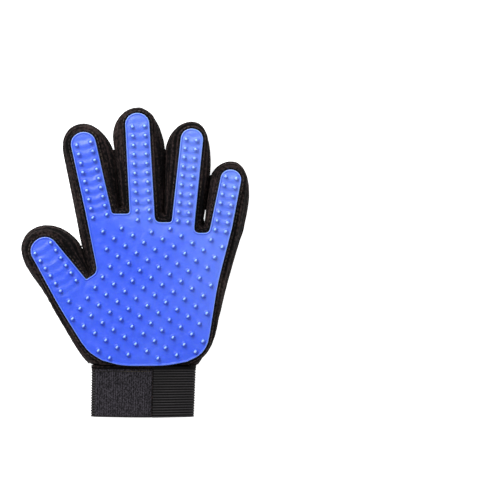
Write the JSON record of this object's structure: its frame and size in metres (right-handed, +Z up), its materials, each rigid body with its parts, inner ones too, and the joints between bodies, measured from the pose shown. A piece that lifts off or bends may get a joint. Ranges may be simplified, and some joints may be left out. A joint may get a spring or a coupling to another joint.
{
  "type": "grooming glove",
  "caption": "Five-finger pet grooming glove: nubbed rubber palm pad, black fabric body with side walls, and a wrist cuff closed by an elastic hook-and-loop strap.",
  "frame": {"origin": "middle of the glove's outline, on the surface that its back lies on", "axes": "+Y from the cuff to the fingertips, +Z up out of the nubbed palm, -X to the thumb"},
  "size_m": [0.1705, 0.2316, 0.0204],
  "materials": {
    "rubber": "satin moulded silicone rubber",
    "knit": "matt polyester knit",
    "mesh": "matt open air mesh",
    "elastic": "ribbed woven elastic",
    "loop": "brushed loop tape",
    "hook": "nylon hook tape"
  },
  "bodies": {
    "hand": {"hand_back": "mesh", "little_side_wall": "knit", "thumb_side_wall": "knit", "ring_little_web": "knit", "middle_ring_web": "knit", "index_middle_web": "knit", "thumb_index_web": "knit", "hand_palm": "knit", "palm_pad": "rubber", "cuff_band": "elastic", "loop_patch": "loop", "strap_return": "elastic"},
    "thumb_base": {"thumb_base_back": "mesh", "thumb_base_fourchette_left": "knit", "thumb_base_fourchette_right": "knit", "thumb_base_palm": "knit", "thumb_base_pad": "rubber"},
    "thumb_tip": {"thumb_tip_back": "mesh", "thumb_tip_fourchette": "knit", "thumb_tip_palm": "knit", "thumb_tip_pad": "rubber"},
    "index_base": {"index_base_back": "mesh", "index_base_fourchette_left": "knit", "index_base_fourchette_right": "knit", "index_base_palm": "knit", "index_base_pad": "rubber"},
    "index_tip": {"index_tip_back": "mesh", "index_tip_fourchette": "knit", "index_tip_palm": "knit", "index_tip_pad": "rubber"},
    "middle_base": {"middle_base_back": "mesh", "middle_base_fourchette_left": "knit", "middle_base_fourchette_right": "knit", "middle_base_palm": "knit", "middle_base_pad": "rubber"},
    "middle_tip": {"middle_tip_back": "mesh", "middle_tip_fourchette": "knit", "middle_tip_palm": "knit", "middle_tip_pad": "rubber"},
    "ring_base": {"ring_base_back": "mesh", "ring_base_fourchette_left": "knit", "ring_base_fourchette_right": "knit", "ring_base_palm": "knit", "ring_base_pad": "rubber"},
    "ring_tip": {"ring_tip_back": "mesh", "ring_tip_fourchette": "knit", "ring_tip_palm": "knit", "ring_tip_pad": "rubber"},
    "little_base": {"little_base_back": "mesh", "little_base_fourchette_left": "knit", "little_base_fourchette_right": "knit", "little_base_palm": "knit", "little_base_pad": "rubber"},
    "little_tip": {"little_tip_back": "mesh", "little_tip_fourchette": "knit", "little_tip_palm": "knit", "little_tip_pad": "rubber"},
    "strap": {"strap": "elastic", "strap_hem": "elastic", "hook_patch": "hook"}
  },
  "joints": [
    {"name": "thumb_root_flex", "type": "hinge", "parent": "hand", "child": "thumb_base", "pos_m": [-0.048, -0.02, 0.0169], "axis": [0.829, 0.5592, 0], "range_deg": [0, 50]},
    {"name": "thumb_middle_flex", "type": "hinge", "parent": "thumb_base", "child": "thumb_tip", "pos_m": [-0.06321, 0.00255, 0.0169], "axis": [0.829, 0.5592, 0], "range_deg": [0, 60]},
    {"name": "index_root_flex", "type": "hinge", "parent": "hand", "child": "index_base", "pos_m": [-0.0272, 0.0383, 0.0169], "axis": [0.9763, 0.2164, 0], "range_deg": [0, 50]},
    {"name": "index_middle_flex", "type": "hinge", "parent": "index_base", "child": "index_tip", "pos_m": [-0.03322, 0.06544, 0.0169], "axis": [0.9763, 0.2164, 0], "range_deg": [0, 60]},
    {"name": "middle_root_flex", "type": "hinge", "parent": "hand", "child": "middle_base", "pos_m": [0.0052, 0.0428, 0.0169], "axis": [0.9985, 0.0541, 0], "range_deg": [0, 50]},
    {"name": "middle_middle_flex", "type": "hinge", "parent": "middle_base", "child": "middle_tip", "pos_m": [0.00331, 0.07765, 0.0169], "axis": [0.9985, 0.0541, 0], "range_deg": [0, 60]},
    {"name": "ring_root_flex", "type": "hinge", "parent": "hand", "child": "ring_base", "pos_m": [0.0367, 0.0343, 0.0169], "axis": [0.9946, -0.1037, 0], "range_deg": [0, 50]},
    {"name": "ring_middle_flex", "type": "hinge", "parent": "ring_base", "child": "ring_tip", "pos_m": [0.04023, 0.06817, 0.0169], "axis": [0.9946, -0.1037, 0], "range_deg": [0, 60]},
    {"name": "little_root_flex", "type": "hinge", "parent": "hand", "child": "little_base", "pos_m": [0.0649, 0.0274, 0.0169], "axis": [0.9806, -0.1959, 0], "range_deg": [0, 50]},
    {"name": "little_middle_flex", "type": "hinge", "parent": "little_base", "child": "little_tip", "pos_m": [0.06886, 0.04721, 0.0169], "axis": [0.9806, -0.1959, 0], "range_deg": [0, 60]},
    {"name": "strap_peel", "type": "hinge", "parent": "hand", "child": "strap", "pos_m": [0.03785, -0.0963, 0.0156], "axis": [0, 1, 0], "range_deg": [0, 165]}
  ]
}
